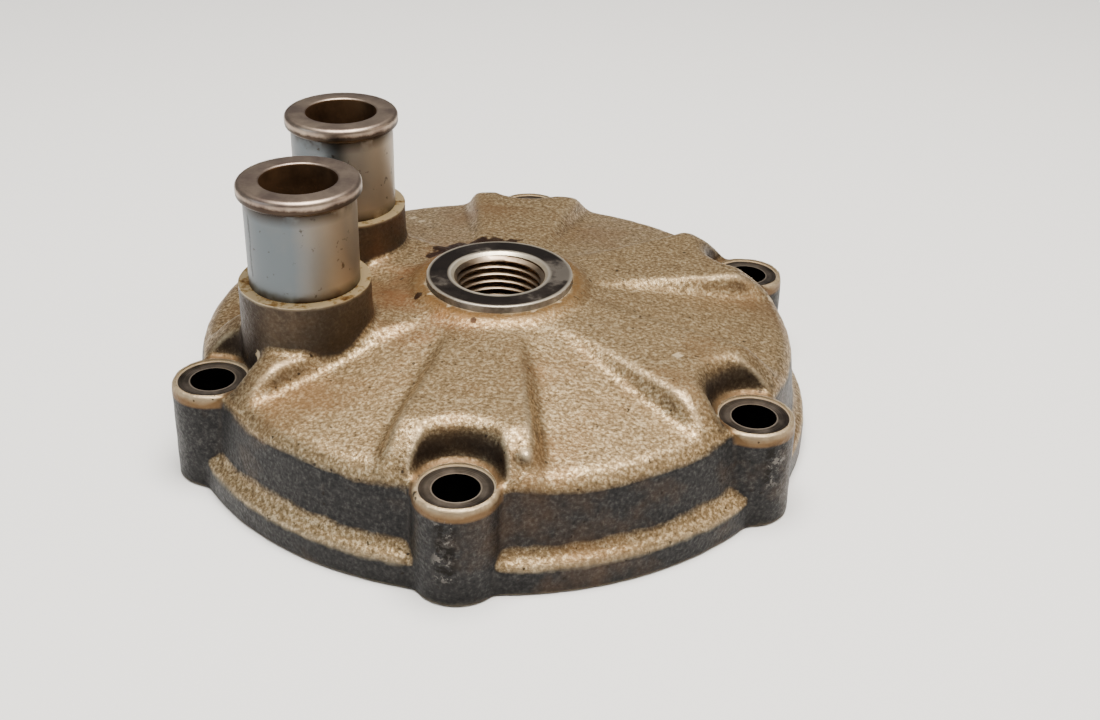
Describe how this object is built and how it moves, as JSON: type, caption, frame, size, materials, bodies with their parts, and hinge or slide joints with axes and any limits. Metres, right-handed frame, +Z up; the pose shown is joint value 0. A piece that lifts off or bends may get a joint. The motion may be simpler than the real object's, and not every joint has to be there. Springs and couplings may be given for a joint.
{
  "type": "cylinder head",
  "caption": "Round two-piece liquid-cooled engine cylinder head with a central plug thread, bolt bosses round the rim, upright coolant spigots and a wax thermostat inside.",
  "frame": {"origin": "plug axis at the joint face that sits on the cylinder, which is the bottom centre of the bolt circle", "axes": "+Z up out of the plug hole, -X towards the pair of coolant spigots, Y across, with one spigot on each side of the XZ plane"},
  "size_m": [0.0968, 0.1022, 0.0431],
  "materials": {
    "cast_aluminium": "rough sand-cast, stained and oxidised",
    "turned_aluminium": "turned, dull with use",
    "spigot_metal": "satin drawn tube, stained at the foot",
    "black_rubber": "matt moulded rubber",
    "thermostat_brass": "pressed and turned, slightly tarnished",
    "stainless_steel": "pressed, satin",
    "spring_steel": "drawn wire and strip",
    "wax": "cast wax with copper powder"
  },
  "bodies": {
    "head": {"head_cover": "cast_aluminium", "combustion_insert": "turned_aluminium", "neck_o_ring": "black_rubber", "chamber_o_ring": "black_rubber", "coolant_o_ring": "black_rubber", "front_spigot": "spigot_metal", "rear_spigot": "spigot_metal", "thermostat_flange": "thermostat_brass", "thermostat_bridge": "stainless_steel", "thermostat_cage": "stainless_steel", "thermostat_seal": "black_rubber", "thermostat_circlip": "spring_steel", "piston_pin": "stainless_steel", "main_spring": "spring_steel"},
    "valve": {"main_valve": "thermostat_brass", "wax_cup": "thermostat_brass", "wax_pellet": "wax", "rubber_boot": "black_rubber", "capsule_guide": "thermostat_brass"},
    "jiggle": {"jiggle_pin": "stainless_steel"}
  },
  "joints": [
    {"name": "valve_lift", "type": "slide", "parent": "head", "child": "valve", "axis": [0, 0, -1], "range_m": [0, 0.003], "stiffness_N_per_m": 3000, "deforming": ["main_spring"]},
    {"name": "jiggle_lift", "type": "slide", "parent": "head", "child": "jiggle", "axis": [0, 0, 1], "range_m": [0, 0.0005]}
  ]
}
